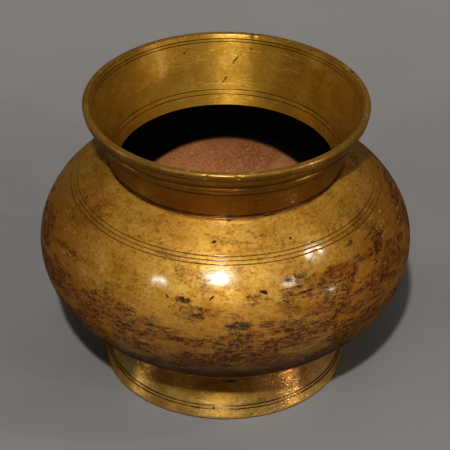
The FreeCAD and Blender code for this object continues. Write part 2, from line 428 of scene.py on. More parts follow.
def make_shoulder():
    outer = between(upper_curve(0.0), 0, MOUTH_R, BELLY_R)
    grooves = where(outer, 0, SHOULDER_GROOVE_R)
    below_outer = between(lower_curve(0.0), 1, SEAM_Z, BELLY_Z)
    inner = upper_curve(WALL)
    mouth = (SPIGOT_R, inner[0][1])
    braze_top = (LAP_R - BRAZE_LEAN, BRAZE_TOP_Z)
    inner_wall = resample(between(inner, 1, BRAZE_TOP_Z, NECK_Z)[::-1])
    outline = [
        (inner_wall, INSIDE),
        (resample(line(inner[0], mouth)), INSIDE),
        (resample(line(mouth, (SPIGOT_R, SEAT_Z))), OUTSIDE),
        (resample(line((SPIGOT_R, SEAT_Z), (MOUTH_SEAT_R, SEAT_Z)), step=0.6), OUTSIDE),
        (resample(arc((MOUTH_SEAT_R, SEAT_Z), MOUTH_BOW, (MOUTH_R, outer[0][1])), step=0.3), OUTSIDE),
        (resample(outer, grooves, side=-1.0), OUTSIDE),
        (resample(below_outer), OUTSIDE),
        (resample(line(below_outer[-1], (LAP_R, SEAM_Z))), OUTSIDE),
        (resample(line((LAP_R, SEAM_Z), (LAP_R, LAP_Z))), OUTSIDE),
        (resample(line((LAP_R, LAP_Z), braze_top)), OUTSIDE),
        (resample(line(braze_top, inner_wall[0])), INSIDE),
    ]
    return turn_piece("shoulder_shell_aged", outline)


def make_belly():
    outer = between(lower_curve(0.0), 1, FOOT_TOP_Z, SEAM_Z)
    inner = lower_curve(WALL)
    inner = between(inner, 1, inner[-1][1], LAP_Z)
    outline = [
        (resample(bottom_curve(0.0)[::-1], step=1.6), OUTSIDE),
        (resample(outer[::-1]), OUTSIDE),
        (resample(line(outer[0], (LAP_R, SEAM_Z))), OUTSIDE),
        (resample(line((LAP_R, SEAM_Z), (LAP_R, LAP_Z))), OUTSIDE),
        (resample(line((LAP_R, LAP_Z), inner[0])), INSIDE),
        (resample(inner, step=1.6), INSIDE),
        (resample(bottom_curve(WALL), step=2.2), INSIDE),
    ]
    return turn_piece("belly_shell_aged", outline)


def make_foot():
    grooves = groove_runs(line((FOOT_R, FOOT_SIDE_Z), (FOOT_TOP_R, FOOT_SEAT_Z)), FOOT_GROOVE_Z)
    under = between(bottom_curve(0.0), 0, FOOT_TOP_IN_R, FOOT_TOP_R - FOOT_BEAD)
    land_in = (FOOT_LAND_IN_R, 0.0)
    land_out = (FOOT_LAND_OUT_R, 0.0)
    edge_low = (FOOT_R, FOOT_EDGE_LOW_Z)
    edge_top = (FOOT_R, FOOT_EDGE_TOP_Z)
    top = (FOOT_TOP_R, FOOT_SEAT_Z)
    outline = [
        (resample(line(land_in, land_out), step=0.8), OUTSIDE),
        (resample(arc(land_out, FOOT_LAND_BOW, edge_low), step=0.2), OUTSIDE),
        (resample(line(edge_low, edge_top), step=0.3), OUTSIDE),
        (resample(arc(edge_top, FOOT_EDGE_BOW, FOOT_SIDE_LOW), step=0.2), OUTSIDE),
        (resample(line(FOOT_SIDE_LOW, top), grooves), OUTSIDE),
        (resample(line(top, under[0])), OUTSIDE),
        (resample(under), OUTSIDE),
        (resample(line(under[-1], FOOT_BEVEL), step=1.6), INSIDE),
        (resample(line(FOOT_BEVEL, land_in), step=0.4), INSIDE),
    ]
    return turn_piece("foot_ring_turned", outline)


def make_neck_braze():
    lip = (NECK_LIP_R, NECK_Z)
    inner_top = (NECK_SEAT_R, NECK_Z)
    inner_low = (NECK_SEAT_R, SEAT_Z)
    outer_low = (NECK_BEAD_R, SEAT_Z)
    outline = [
        (resample(line(lip, inner_top), step=0.4), OUTSIDE),
        (resample(line(inner_top, inner_low), step=0.4), OUTSIDE),
        (resample(line(inner_low, outer_low), step=0.4), OUTSIDE),
        (resample(arc(outer_low, NECK_BEAD_BOW, lip), step=0.15), OUTSIDE),
    ]
    return turn_piece("neck_braze_bead", outline)


def make_foot_braze():
    top = between(lower_curve(0.0), 1, FOOT_TOP_Z, FILLET_TOP_Z)
    under = between(bottom_curve(0.0), 0, FOOT_TOP_R - FOOT_BEAD, FOOT_TOP_R)
    corner = (FOOT_TOP_R, FOOT_SEAT_Z)
    outline = [
        (resample(line(corner, under[-1]), step=0.4), OUTSIDE),
        (resample(under[::-1], step=0.4), OUTSIDE),
        (resample(top[::-1], step=0.4), OUTSIDE),
        (resample(arc(top[0], FILLET_BOW, corner), step=0.2), OUTSIDE),
    ]
    return turn_piece("foot_braze_fillet", outline)


def make_seam_braze():
    inner = between(upper_curve(WALL), 1, LAP_Z, BRAZE_TOP_Z)[::-1]
    low_in = (BELLY_R - WALL, LAP_Z)
    low_out = (LAP_R, LAP_Z)
    top_out = (LAP_R - BRAZE_LEAN, BRAZE_TOP_Z)
    outline = [
        (resample(line(low_in, low_out), step=0.5), OUTSIDE),
        (resample(line(low_out, top_out), step=0.5), OUTSIDE),
        (resample(line(top_out, inner[-1]), step=0.5), OUTSIDE),
        (resample(line(inner[-1], low_in), step=0.5), OUTSIDE),
    ]
    return turn_piece("belly_seam_braze", outline)


# ---------------------------------------------------------------- materials

class Shader:
    """Small helper that adds and links shader nodes."""

    def __init__(self, name):
        self.material = bpy.data.materials.new(name)
        self.material.use_nodes = True
        self.tree = self.material.node_tree
        self.tree.nodes.clear()
        self.place = self.add("ShaderNodeTexCoord").outputs["Object"]

    def add(self, kind, **settings):
        node = self.tree.nodes.new(kind)
        for key, value in settings.items():
            setattr(node, key, value)
        return node

    def feed(self, socket, value):
        if hasattr(value, "is_linked") or hasattr(value, "links"):
            self.tree.links.new(value, socket)
        else:
            socket.default_value = value

    def math(self, operation, a, b=0.0, c=0.0, clamp=False):
        node = self.add("ShaderNodeMath", operation=operation, use_clamp=clamp)
        for socket, value in zip(node.inputs, (a, b, c)):
            self.feed(socket, value)
        return node.outputs[0]

    def times(self, a, b):
        return self.math("MULTIPLY", a, b)

    def plus(self, a, b):
        return self.math("ADD", a, b)

    def most(self, a, b):
        return self.math("MAXIMUM", a, b)

    def step(self, value, low, high, out_low=0.0, out_high=1.0):
        node = self.add("ShaderNodeMapRange", interpolation_type="SMOOTHSTEP")
        for socket, number in zip(node.inputs, (value, low, high, out_low, out_high)):
            self.feed(socket, number)
        return node.outputs[0]

    def stretched(self, scale, turn=(0.0, 0.0, 0.0), shift=(0.0, 0.0, 0.0)):
        node = self.add("ShaderNodeMapping", vector_type="POINT")
        self.feed(node.inputs["Vector"], self.place)
        node.inputs["Location"].default_value = shift
        node.inputs["Rotation"].default_value = turn
        node.inputs["Scale"].default_value = scale
        return node.outputs[0]

    def noise(self, scale, detail=4.0, rough=0.55, twist=0.0, vector=None):
        node = self.add("ShaderNodeTexNoise")
        self.feed(node.inputs["Vector"], vector or self.place)
        node.inputs["Scale"].default_value = scale
        node.inputs["Detail"].default_value = detail
        node.inputs["Roughness"].default_value = rough
        node.inputs["Distortion"].default_value = twist
        return node.outputs["Fac"]

    def blend(self, share, a, b, mode="MIX"):
        node = self.add("ShaderNodeMix", data_type="RGBA", blend_type=mode)
        self.feed(node.inputs[0], share)
        self.feed(node.inputs[6], a)
        self.feed(node.inputs[7], b)
        return node.outputs[2]

    def axes(self):
        node = self.add("ShaderNodeSeparateXYZ")
        self.feed(node.inputs[0], self.place)
        return node.outputs

    def ring(self, height, reach):
        """1 on a horizontal line round the pot at a height in mm, fading over reach mm."""
        apart = self.math("ABSOLUTE", self.math("SUBTRACT", self.axes()[2], height * MM))
        return self.step(apart, 0.4 * reach * MM, reach * MM, 1.0, 0.0)

    def mark(self, r, degrees, z, size, lean=0.0, ragged=1.1):
        """Blot or scratch at a point of the surface; size is half length, half height, depth in mm."""
        angle = math.radians(degrees)
        spot = (r * math.cos(angle) * MM, r * math.sin(angle) * MM, z * MM)
        node = self.add("ShaderNodeMapping", vector_type="TEXTURE")
        warp = self.add("ShaderNodeVectorMath", operation="MULTIPLY_ADD")
        wobble = self.add("ShaderNodeTexNoise")
        self.feed(wobble.inputs["Vector"], self.place)
        wobble.inputs["Scale"].default_value = 420.0
        wobble.inputs["Detail"].default_value = 5.0
        wobble.inputs["Roughness"].default_value = 0.7
        self.feed(warp.inputs[0], wobble.outputs["Color"])
        reach = ragged * min(size[0], 2.2 * size[1], 3.0) * MM
        warp.inputs[1].default_value = (2 * reach, 2 * reach, 2 * reach)
        shifted = self.add("ShaderNodeVectorMath", operation="SUBTRACT")
        self.feed(shifted.inputs[0], self.place)
        shifted.inputs[1].default_value = (reach, reach, reach)
        self.feed(warp.inputs[2], shifted.outputs[0])
        self.feed(node.inputs["Vector"], warp.outputs[0])
        node.inputs["Location"].default_value = spot
        facing = Matrix.Rotation(angle + math.pi / 2, 3, "Z") @ Matrix.Rotation(math.radians(lean), 3, "Y")
        node.inputs["Rotation"].default_value = facing.to_euler()
        node.inputs["Scale"].default_value = (1.3 * size[0] * MM, size[2] * MM, 1.25 * size[1] * MM)
        length = self.add("ShaderNodeVectorMath", operation="LENGTH")
        self.feed(length.inputs[0], node.outputs[0])
        return self.step(length.outputs["Value"], 0.60, 1.05, 1.0, 0.0)

    def finish(self, colour, roughness, metallic, height, bump, grain=0.0, film=None):
        surface = self.add("ShaderNodeBsdfPrincipled")
        self.feed(surface.inputs["Base Color"], colour)
        self.feed(surface.inputs["Roughness"], roughness)
        self.feed(surface.inputs["Metallic"], metallic)
        surface.inputs["Specular IOR Level"].default_value = 0.25
        if film is not None:
            self.feed(surface.inputs["Coat Weight"], film)
            surface.inputs["Coat Roughness"].default_value = 0.17
            surface.inputs["Coat IOR"].default_value = 1.6
        if grain:
            surface.inputs["Anisotropic"].default_value = grain
            surface.inputs["Anisotropic Rotation"].default_value = 0.25
            tangent = self.add("ShaderNodeTangent", direction_type="RADIAL", axis="Z")
            self.feed(surface.inputs["Tangent"], tangent.outputs[0])
        if height is not None:
            relief = self.add("ShaderNodeBump")
            relief.inputs["Strength"].default_value = bump
            relief.inputs["Distance"].default_value = MM
            self.feed(relief.inputs["Height"], height)
            self.feed(surface.inputs["Normal"], relief.outputs[0])
        output = self.add("ShaderNodeOutputMaterial")
        self.feed(output.inputs["Surface"], surface.outputs[0])
        return self.material


GOLD = (0.60, 0.355, 0.058, 1.0)
PALE_GOLD = (0.76, 0.51, 0.17, 1.0)
OLIVE = (0.36, 0.212, 0.022, 1.0)
ORANGE = (0.50, 0.195, 0.022, 1.0)
RUST = (0.19, 0.056, 0.014, 1.0)
BROWN = (0.085, 0.020, 0.008, 1.0)
PLUM = (0.028, 0.006, 0.007, 1.0)
SOOT = (0.030, 0.014, 0.006, 1.0)
BOTTOM_DARK = (0.080, 0.031, 0.007, 1.0)
FLANK_SHADE = (0.27, 0.125, 0.012, 1.0)
LOWER_RED_BROWN = (0.36, 0.145, 0.018, 1.0)
LIP_BROWN = (0.26, 0.145, 0.040, 1.0)
NECK_BROWN_AND_SHADE = (0.20, 0.095, 0.008, 1.0)
COPPER = (0.45, 0.23, 0.12, 1.0)
LIT_FLANK_DARK = (0.72, 0.34, 0.10, 1.0)
LIT_FLANK_PALE = (0.88, 0.52, 0.22, 1.0)
CAST_BROWN = (0.54, 0.26, 0.115, 1.0)
CAST_DARK = (0.33, 0.145, 0.060, 1.0)
CAST_GLINT = (0.78, 0.50, 0.30, 1.0)
CAST_PIT = (0.08, 0.035, 0.025, 1.0)
# Nearly black colour of the painted shadow inside the shoulder.
PAINTED_INSIDE_SHADOW = (0.003, 0.0015, 0.001, 1.0)
DULL_COPPER = (0.20, 0.09, 0.04, 1.0)

# Seed of the hairlines. The number of marks on a piece is added, so the collar's two skins share one.
FIRST_SEED = 7

# Blots, pits and gouges: angle in degrees, height, half sizes in mm, lean, depth of tone.
BODY_MARKS = (
    (265.5, 143.5, (1.9, 0.7, 1.5), -38, 1.0),
    (244, 148, (1.2, 0.5, 1.5), 30, 0.7),
    (257, 117, (5.2, 1.7, 2.2), 6, 0.85),
    (252, 118, (1.8, 0.5, 1.5), 35, 0.8),
    (266, 119.5, (2.4, 0.6, 1.5), -42, 0.85),
    (248, 99, (3.0, 0.6, 1.6), -28, 0.95),
    (252.5, 96, (3.6, 0.5, 1.6), 42, 0.7),
    (201, 139.5, (1.6, 0.6, 1.4), 60, 0.8),
    (282, 121.5, (2.6, 1.2, 2.0), 30, 1.0),
    (279, 118, (3.4, 0.4, 1.5), 38, 0.8),
    (296, 142, (0.8, 0.8, 1.2), 0, 0.9),
    (328, 123, (1.4, 1.4, 1.6), 0, 0.9),
    (329, 129, (9.5, 0.45, 2.6), -4, 0.8),
    (290.5, 125.5, (2.0, 0.7, 1.6), 0, 0.8),
    (296, 118, (5.5, 0.6, 1.8), 0, 0.85),
    (301, 132, (4.2, 0.4, 1.8), -30, 0.85),
    (274.5, 104, (7.0, 2.6, 2.6), 0, 0.9),
    (270.5, 71, (3.0, 2.1, 2.4), 0, 0.95),
    (271.5, 151, (1.4, 0.5, 1.0), 0, 0.9),
    (72, 129.5, (2.6, 0.6, 1.8), -30, 0.8),
    (140, 122, (2.2, 1.2, 1.8), 40, 0.8),
    (160, 76, (5.0, 2.2, 2.6), 0, 0.8),
)
BODY_SCRATCHES = (
    (293, 134, (6.0, 0.20, 2.0), 50, 0.8),
    (281, 112, (6.0, 0.20, 2.0), 20, 0.6),
)

BORE_MARKS = (
    (86, 176, (4.4, 0.42, 1.5), 52, 0.9),
    (91.5, 163, (4.2, 0.40, 1.5), 46, 0.8),
    (79, 183.5, (0.8, 1.5, 1.5), 0, 0.5),
    (110, 182, (1.1, 0.6, 1.2), 0, 0.7),
    (76.5, 172, (0.8, 0.8, 1.2), 0, 0.35),
    (62, 178, (0.8, 0.8, 1.2), 0, 0.5),
)
BORE_SCRATCHES = (
    (108, 164, (3.0, 0.18, 1.5), 75, 0.9),
    (106, 160, (2.4, 0.18, 1.5), -50, 0.7),
    (132, 170, (0.6, 0.50, 1.2), 0, 0.8),
)

COLLAR_MARKS = (
    (79, 191.8, (1.5, 1.2, 1.2), 0, 0.9),
    (286, 176, (2.6, 0.7, 1.6), 0, 0.7),
    (292, 165, (1.0, 0.7, 1.2), 0, 0.6),
    (283, 166, (2.4, 0.8, 1.4), 10, 0.35),
    (24, 191.8, (1.2, 1.0, 1.2), 0, 0.8),
    (236, 160, (3.0, 1.0, 1.6), 0, 0.4),
)
COLLAR_SCRATCHES = (
    (262, 188, (3.0, 0.18, 1.5), 60, 0.7),
    (280, 162, (4.0, 0.18, 1.5), 10, 0.5),
)

FOOT_MARKS = (
    (265, 7, (0.8, 1.0, 1.2), 0, 0.9),
    (283, 2, (1.8, 0.8, 1.2), -20, 0.9),
    (273, 23.5, (4.5, 0.7, 1.4), 0, 0.9),
    (289, 10, (3.5, 2.2, 1.8), 0, 0.6),
    (293, 4, (4.0, 0.9, 1.4), 0, 0.5),
    (262, 16, (4.0, 2.0, 2.0), 0, 0.5),
    (316, 18.5, (2.6, 1.6, 1.8), 0, 0.5),
    (60, 5, (4.0, 1.4, 1.6), 0, 0.6),
    (150, 14, (4.0, 2.4, 2.0), 0, 0.6),
)
FOOT_SCRATCHES = (
    (266, 5, (0.25, 3.0, 1.5), 0, 0.8),
    (300, 12, (4.0, 0.20, 1.5), 40, 0.6),
)


def body_radius(height):
    curve = np.vstack([lower_curve(0.0)[::-1], upper_curve(0.0)[::-1]])
    return float(np.interp(height, curve[:, 1], curve[:, 0]))


def bore_radius(height):
    return float(np.interp(height, (SPIGOT_END_Z, BORE_TOP_Z), (BORE_R, BORE_TOP_R)))


def collar_radius(height):
    corners = ((74.0, NECK_Z), STEP_LOW, BEAD_TOP, BAND_TOP, RIM_LOW, (88.0, HEIGHT))
    radii, heights = zip(*corners)
    return float(np.interp(height, heights, radii))


def foot_radius(height):
    return float(np.interp(height, (FOOT_SIDE_Z, FOOT_SEAT_Z), (FOOT_R, FOOT_TOP_R)))


def all_marks(shader, marks, radius_at):
    total = None
    for degrees, z, size, lean, tone in marks:
        spot = shader.times(shader.mark(radius_at(z), degrees, z, size, lean), tone)
        total = spot if total is None else shader.most(total, spot)
    return total


def scratch_set(shader, seed, width=0.016):
    """Thin, mostly straight hairlines: the narrow middle of stretched noise, kept in patches."""
    total = None
    random = np.random.default_rng(seed)
    for lean in (0.5, -0.7, 1.2):
        turn = (random.uniform(-0.3, 0.3), lean, random.uniform(0.0, 6.0))
        lines = shader.noise(1.0, 1.0, 0.4, 0.0, shader.stretched((40.0, 40.0, 520.0), turn))
        apart = shader.math("ABSOLUTE", shader.math("SUBTRACT", lines, 0.5))
        thin = shader.step(apart, 0.0, width, 1.0, 0.0)
        lie = shader.stretched((60.0, 60.0, 90.0), turn, (lean, 0.3, 0.7))
        patch = shader.noise(1.0, 2.0, 0.5, 0.0, lie)
        hair = shader.times(thin, shader.step(patch, 0.50, 0.62))
        total = hair if total is None else shader.most(total, hair)
    return total


def base_metal(s, clean, warm):
    """Yellow brass dulled by fine grit. Returns its colour and the textures that later layers share."""
    cloud = s.noise(14.0, 3.0, 0.5)
    mottle = s.noise(1.0, 6.0, 0.62, 0.3, s.stretched((70.0, 70.0, 100.0)))
    speck = s.noise(330.0, 5.0, 0.7, 0.6)
    fine = s.noise(1400.0, 3.0, 0.6)
    colour = s.blend(s.step(cloud, 0.32, 0.68), OLIVE, GOLD)
    colour = s.blend(s.step(mottle, 0.36, 0.72, 0.0, 0.45), colour, PALE_GOLD)
    grit = s.noise(1.0, 6.0, 0.75, 0.2, s.stretched((160.0, 160.0, 210.0), (0.0, 0.0, 0.5)))
    pepper = s.noise(1.0, 4.0, 0.8, 0.0, s.stretched((420.0, 420.0, 520.0)))
    soiled = 1.6 - clean
    colour = s.blend(s.step(grit, 0.50, 0.36, 0.0, 0.50 * soiled), colour, OLIVE)
    colour = s.blend(s.step(grit, 0.42, 0.30, 0.0, 0.65 * soiled), colour, BROWN)
    colour = s.blend(s.step(grit, 0.58, 0.72, 0.0, 0.35), colour, PALE_GOLD)
    colour = s.blend(s.step(pepper, 0.50, 0.34, 0.0, 0.50 * soiled), colour, RUST)
    colour = s.blend(s.step(pepper, 0.52, 0.68, 0.0, 0.30), colour, PALE_GOLD)
    orange = s.noise(1.0, 4.0, 0.6, 0.5, s.stretched((26.0, 26.0, 34.0), (0.0, 0.0, 0.0), (0.4, 0.1, 0.8)))
    colour = s.blend(s.times(s.step(orange, 0.40, 0.80), warm), colour, ORANGE)
    colour = s.blend(s.step(mottle, 0.48, 0.30, 0.0, 0.55 * (1.2 - clean)), colour, RUST)
    return colour, cloud, mottle, speck, fine, grit, pepper


def tarnish_masks(s, x, z, away, pepper, tarnish):
    """Tarnish: dense below a wavy line round the belly and thicker on the flanks."""
    wave = s.noise(1.0, 4.0, 0.6, 0.4, s.stretched((17.0, 17.0, 21.0), (0.0, 0.0, 0.3), (0.2, 0.9, 0.0)))
    level = s.plus(z, s.times(s.math("SUBTRACT", wave, 0.5), -0.085))
    level = s.math("SUBTRACT", level, s.times(s.step(away, 0.045, 0.11), 0.016))
    level = s.math("SUBTRACT", level, s.times(s.step(x, -0.035, 0.035), 0.014))
    low = s.step(level, 0.126, 0.082)
    broad = s.noise(1.0, 4.0, 0.6, 0.3, s.stretched((30.0, 30.0, 85.0), (0.0, 0.0, 0.7)))
    cluster = s.step(s.plus(broad, s.times(low, 0.12)), 0.53, 0.66)
    grainy = s.noise(1.0, 6.0, 0.78, 0.3, s.stretched((250.0, 250.0, 500.0), (0.0, 0.0, 0.7)))
    crumbs = s.step(s.plus(grainy, s.times(cluster, 0.125)), 0.600, 0.665)
    dirt = s.times(crumbs, s.step(low, 0.0, 0.5, 0.20, 0.95))
    for scale, climb, wide, start in ((52.0, 95.0, 0.014, 0.02), (120.0, 260.0, 0.028, 0.20)):
        lie = s.stretched((scale, scale, climb), (0.2, 0.1, 0.4), (0.0, 0.5, 0.2))
        curl = s.noise(1.0, 4.0, 0.7, 0.7, lie)
        crawl = s.step(s.math("ABSOLUTE", s.math("SUBTRACT", curl, 0.5)), 0.0, wide, 1.0, 0.0)
        crawl = s.times(crawl, s.step(s.plus(cluster, s.times(low, 0.25)), start, start + 0.5))
        dirt = s.most(dirt, s.times(crawl, s.step(pepper, 0.38, 0.52, 0.3, 0.9)))
    smear = s.noise(1.0, 4.0, 0.65, 0.1, s.stretched((34.0, 34.0, 520.0), (0.05, -0.06, 0.0)))
    smear = s.times(s.step(smear, 0.56, 0.66), s.times(s.step(cluster, 0.0, 0.7), s.step(low, 0.15, 0.8)))
    dirt = s.times(s.most(dirt, s.times(smear, 0.80)), tarnish)
    return wave, low, cluster, dirt


def paint_foot_flank_light(s, colour, x, y, z, grit, mottle, flank_light_share):
    """Painted light on the foot's right flank, rosy and pale where a low lamp lights it, and the foot's
    bottom band paler. Returns colour and the lit flank.
    """
    # Painted light: rosy, paler colour on the right front flank of the foot, also less rough there.
    lit_flank = s.times(s.step(x, 0.012, 0.040), s.step(y, -0.010, -0.045))
    flank_glow_colour = s.blend(s.step(grit, 0.35, 0.6), LIT_FLANK_DARK, LIT_FLANK_PALE)
    colour = s.blend(s.times(lit_flank, flank_light_share), colour, flank_glow_colour)
    # Paler bottom band all round: partly rubbed wear, partly a painted highlight.
    worn_and_lit = s.times(s.step(z, 0.0175, 0.0110), s.step(mottle, 0.35, 0.60, 0.35, 0.75))
    return s.blend(worn_and_lit, colour, PALE_GOLD), lit_flank


def shaded_collar(s, colour, z, mottle, collar_shade):
    """Browner outside of the collar below the lip, partly the metal's own brown and partly painted shade
    under the overhang, and a brown film on its lip. Returns colour and lip.
    """
    # Below the lip: partly the metal's own brown, partly painted shade where the lip overhangs.
    neck = s.step(z, 0.1908, 0.1860)
    colour = s.blend(s.times(neck, collar_shade), colour, NECK_BROWN_AND_SHADE)
    lip = s.times(s.step(z, 0.1912, 0.1919), s.step(mottle, 0.62, 0.40, 0.45, 0.80))
    return s.blend(lip, colour, LIP_BROWN), lip


def dark_grooves(s, colour, rings):
    """Dirt in the turned grooves, thin in places. rings holds (height, reach) in mm."""
    broken = s.step(s.noise(70.0, 3.0, 0.6), 0.36, 0.56, 0.75, 1.0)
    lines = s.ring(*rings[0])
    for height, reach in rings[1:]:
        lines = s.most(lines, s.ring(height, reach))
    return s.blend(s.times(s.times(lines, broken), 0.90), colour, SOOT)


def surface_relief(s, masks):
    """Height for the bump: lathe lines, then each (rise, mask), then soft lumps."""
    turned_lines = s.noise(1.0, 3.0, 0.6, 0.0, s.stretched((6.0, 6.0, 900.0)))
    height = s.times(turned_lines, 0.060)
    for rise, mask in masks:
        height = s.plus(height, s.times(mask, rise))
    height = s.plus(height, s.times(s.noise(120.0, 4.0, 0.6), 0.16))
    return s.plus(height, s.times(s.noise(38.0, 2.0, 0.5), 0.30))


def aged_brass(name, marks, scratches, radius_at, rings, clean, tarnish, warm, grain, rough,
               film=0.0, collar_shade=0.0, coat=0.4, flank_light_share=0.0, bare=0.90, painted_dimming=0.0):
    """Old turned brass, from the metal up to its film of tarnish, marks and wear.

    clean, tarnish, warm, film, the flank-light share, the dimming share and bare say how much of each
    shows;
    film sets the painted shade on the flanks and the darker, redder tone towards the bottom, the
    flank-light share the painted light on the foot's right flank, and the dimming share the painted
    shade that dims the skin to olive. grain is the lathe's anisotropy, rough the base roughness, and
    coat the gloss where the metal isn't dull.
    """
    s = Shader(name)
    x, y, z = s.axes()[0:3]
    colour, cloud, mottle, speck, fine, grit, pepper = base_metal(s, clean, warm)
    away = s.math("ABSOLUTE", x)
    # Painted shade: browner towards the left and right flanks as seen from the front, scaled by film.
    colour = s.blend(s.times(s.step(away, 0.060, 0.116, 0.0, 0.80), film), colour, FLANK_SHADE)
    # Painted shade: the whole skin dimmed towards olive by this share, used for the collar's bore.
    if painted_dimming:
        colour = s.blend(painted_dimming, colour, OLIVE)

    wave, low, cluster, dirt = tarnish_masks(s, x, z, away, pepper, tarnish)
    veil = s.times(s.times(cluster, s.step(grit, 0.35, 0.60, 1.0, 0.25)), 0.52 * tarnish)
    # Redder and darker in the zone below the wavy line, towards the bottom, scaled by film.
    colour = s.blend(s.times(low, 0.42 * film), colour, LOWER_RED_BROWN)
    colour = s.blend(s.times(veil, s.step(low, 0.0, 0.6, 0.30, 1.0)), colour, RUST)
    plum_share = s.step(s.plus(s.times(s.noise(45.0, 3.0, 0.5), 0.5), s.times(speck, 0.5)), 0.42, 0.56)
    colour = s.blend(s.times(dirt, 0.88), colour, s.blend(plum_share, BROWN, PLUM))
    # Darker towards the bottom of the belly, and also rougher, less metallic and with less coat there.
    under = s.times(s.step(s.plus(z, s.times(wave, 0.03)), 0.105, 0.066, 0.0, 0.88), film)
    colour = s.blend(under, colour, BOTTOM_DARK)

    # Painted light on the foot's right flank, and the foot's paler bottom band.
    lit_flank = None
    if flank_light_share:
        colour, lit_flank = paint_foot_flank_light(s, colour, x, y, z, grit, mottle, flank_light_share)
    lip = None
    if collar_shade:
        colour, lip = shaded_collar(s, colour, z, mottle, collar_shade)

    pits = s.step(s.noise(520.0, 2.0, 0.5), 0.69, 0.76)
    colour = s.blend(s.times(pits, 0.55), colour, PLUM)
    spots = all_marks(s, marks, radius_at)
    spots = s.times(spots, s.step(speck, 0.34, 0.50, 0.45, 1.0))
    colour = s.blend(spots, colour, s.blend(s.step(cloud, 0.45, 0.55), SOOT, PLUM))
    hair = s.most(scratch_set(s, FIRST_SEED + len(marks)), s.times(all_marks(s, scratches, radius_at), 1.5))
    colour = s.blend(s.times(hair, s.step(speck, 0.45, 0.55, 0.15, 0.65)), colour, PALE_GOLD)
    colour = dark_grooves(s, colour, rings)

    roughness = s.step(mottle, 0.3, 0.7, rough + 0.06, rough - 0.05)
    roughness = s.plus(roughness, s.times(s.math("SUBTRACT", fine, 0.5), 0.10))
    roughness = s.plus(roughness, s.times(s.math("SUBTRACT", pepper, 0.5), -0.20))
    for share, mask in ((0.20, dirt), (0.14, under), (0.25, spots), (0.20, lip), (-0.13, lit_flank)):
        if mask is not None:
            roughness = s.plus(roughness, s.times(mask, share))
    metallic = s.math("SUBTRACT", bare, s.times(s.most(dirt, spots), 0.45), clamp=True)
    metallic = s.math("SUBTRACT", metallic, s.times(under, 0.25), clamp=True)
    if lip is not None:
        metallic = s.math("SUBTRACT", metallic, s.times(lip, 0.60), clamp=True)

    height = surface_relief(s, ((0.036, fine), (0.09, grit), (0.05, pepper), (-0.05, dirt),
                                (-0.10, pits), (-0.10, spots), (-0.03, hair)))
    dull = s.most(s.times(dirt, 0.8), s.math("MINIMUM", s.times(under, 1.1), 1.0))
    dull = s.most(dull, s.step(away, 0.056, 0.070))
    shine = s.times(s.math("SUBTRACT", 1.0, dull), coat)
    return s.finish(colour, roughness, metallic, height, 0.75, grain, shine)


def cast_inside(name):
    """Unturned inside of the casting: dull, grainy, reddish brown, with a nearly black painted shadow under
    the shoulder.
    """
    s = Shader(name)
    cloud = s.noise(30.0, 5.0, 0.6, 0.3)
    grain = s.noise(640.0, 5.0, 0.7)
    colour = s.blend(s.step(cloud, 0.3, 0.7), CAST_DARK, CAST_BROWN)
    colour = s.blend(s.step(grain, 0.54, 0.68, 0.0, 0.7), colour, CAST_GLINT)
    colour = s.blend(s.step(grain, 0.45, 0.30, 0.0, 0.6), colour, CAST_PIT)
    axes = s.axes()
    x = axes[0]
    z = axes[2]
    # Painted shadow: nearly black and not metallic above a line that dips towards the sides, standing for
    # the shadow the collar casts inside.
    shadow_edge_line = s.plus(s.plus(z, s.times(cloud, 0.003)), s.times(s.times(x, x), 4.8))
    high = s.step(shadow_edge_line, 0.0925, 0.0965)
    colour = s.blend(high, colour, PAINTED_INSIDE_SHADOW)
    roughness = s.step(grain, 0.3, 0.7, 0.85, 0.65)
    metallic = s.times(s.step(grain, 0.5, 0.8, 0.05, 0.35), s.math("SUBTRACT", 1.0, high))
    height = s.plus(s.times(grain, 0.35), s.times(s.noise(90.0, 4.0, 0.6), 0.6))
    return s.finish(colour, roughness, metallic, height, 0.9)


def braze_metal(name):
    """Dull coppery filler with small lumps."""
    s = Shader(name)
    lump = s.noise(300.0, 4.0, 0.6)
    colour = s.blend(s.step(lump, 0.3, 0.7), DULL_COPPER, COPPER)
    colour = s.blend(s.step(s.noise(60.0, 3.0, 0.6), 0.52, 0.68, 0.0, 0.8), colour, BROWN)
    roughness = s.step(lump, 0.3, 0.7, 0.5, 0.34)
    return s.finish(colour, roughness, s.step(lump, 0.2, 0.5, 0.8, 1.0), s.times(lump, 0.25), 0.8)


def shoulder_height(radius):
    curve = upper_curve(0.0)
    return float(np.interp(radius, curve[:, 0], curve[:, 1]))


collar = make_collar()
shoulder = make_shoulder()
belly = make_belly()
foot = make_foot()
neck_bead = make_neck_braze()
foot_fillet = make_foot_braze()
seam_bead = make_seam_braze()

